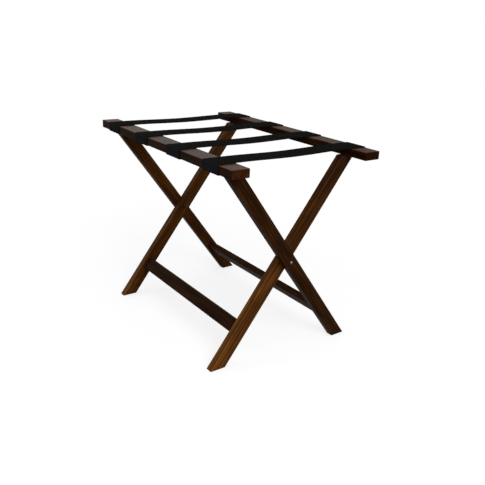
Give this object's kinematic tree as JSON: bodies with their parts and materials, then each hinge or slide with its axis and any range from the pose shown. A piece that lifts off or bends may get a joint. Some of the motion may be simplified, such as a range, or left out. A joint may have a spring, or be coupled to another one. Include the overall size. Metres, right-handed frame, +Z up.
{
  "type": "folding luggage rack",
  "caption": "Folding luggage rack: two crossed dark-stained wooden frames on a pair of pivots, with flat top rails joined by black webbing straps.",
  "frame": {"origin": "centre of the floor area under the open rack, on the floor", "axes": "+X along the rails, +Y across the rack from the outer frame's rail towards the inner frame's rail, +Z up"},
  "size_m": [0.63, 0.4342, 0.5101],
  "materials": {
    "stained_hardwood": "dark walnut stain under satin lacquer",
    "beech_dowel": "bare turned beech",
    "pivot_steel": "antique bronze plated",
    "spacer_nylon": "moulded black nylon",
    "black_webbing": "woven black nylon webbing with a slight sheen",
    "staple_wire": "galvanised flat wire"
  },
  "bodies": {
    "outer_frame": {"outer_rail": "stained_hardwood", "outer_leg_left": "stained_hardwood", "outer_leg_right": "stained_hardwood", "outer_stretcher": "stained_hardwood", "pivot_bolt_left": "pivot_steel", "pivot_bolt_right": "pivot_steel", "pivot_spacer_left": "spacer_nylon", "pivot_spacer_right": "spacer_nylon", "pivot_nut_left": "pivot_steel", "pivot_nut_right": "pivot_steel", "outer_leg_left_dowel_a": "beech_dowel", "outer_stretcher_left_dowel_a": "beech_dowel", "outer_leg_left_dowel_b": "beech_dowel", "outer_stretcher_left_dowel_b": "beech_dowel", "outer_leg_right_dowel_a": "beech_dowel", "outer_stretcher_right_dowel_a": "beech_dowel", "outer_leg_right_dowel_b": "beech_dowel", "outer_stretcher_right_dowel_b": "beech_dowel", "strap_1_outer_wrap": "black_webbing", "strap_1_outer_staple_a": "staple_wire", "strap_1_outer_staple_b": "staple_wire", "strap_2_outer_wrap": "black_webbing", "strap_2_outer_staple_a": "staple_wire", "strap_2_outer_staple_b": "staple_wire", "strap_3_outer_wrap": "black_webbing", "strap_3_outer_staple_a": "staple_wire", "strap_3_outer_staple_b": "staple_wire", "strap_4_outer_wrap": "black_webbing", "strap_4_outer_staple_a": "staple_wire", "strap_4_outer_staple_b": "staple_wire"},
    "inner_frame": {"inner_rail": "stained_hardwood", "inner_leg_left": "stained_hardwood", "inner_leg_right": "stained_hardwood", "inner_stretcher": "stained_hardwood", "inner_leg_left_dowel_a": "beech_dowel", "inner_stretcher_left_dowel_a": "beech_dowel", "inner_leg_left_dowel_b": "beech_dowel", "inner_stretcher_left_dowel_b": "beech_dowel", "inner_leg_right_dowel_a": "beech_dowel", "inner_stretcher_right_dowel_a": "beech_dowel", "inner_leg_right_dowel_b": "beech_dowel", "inner_stretcher_right_dowel_b": "beech_dowel", "strap_1_inner_wrap": "black_webbing", "strap_1_inner_staple_a": "staple_wire", "strap_1_inner_staple_b": "staple_wire", "strap_2_inner_wrap": "black_webbing", "strap_2_inner_staple_a": "staple_wire", "strap_2_inner_staple_b": "staple_wire", "strap_3_inner_wrap": "black_webbing", "strap_3_inner_staple_a": "staple_wire", "strap_3_inner_staple_b": "staple_wire", "strap_4_inner_wrap": "black_webbing", "strap_4_inner_staple_a": "staple_wire", "strap_4_inner_staple_b": "staple_wire"},
    "webbing": {"strap_1_span": "black_webbing", "strap_2_span": "black_webbing", "strap_3_span": "black_webbing", "strap_4_span": "black_webbing"}
  },
  "joints": [
    {"name": "fold", "type": "hinge", "parent": "outer_frame", "child": "inner_frame", "pos_m": [0, 0, 0.24868], "axis": [1, 0, 0], "range_deg": [0, 65], "deforming": ["strap_1_span", "strap_2_span", "strap_3_span", "strap_4_span"]},
    {"name": "webbing_swing", "type": "hinge", "parent": "outer_frame", "child": "webbing", "pos_m": [0, -0.169, 0.508], "axis": [1, 0, 0], "range_deg": [0, 32.5]}
  ],
  "couplings": [
    {"joint": "webbing_swing", "follows": "fold", "ratio": 0.5}
  ]
}
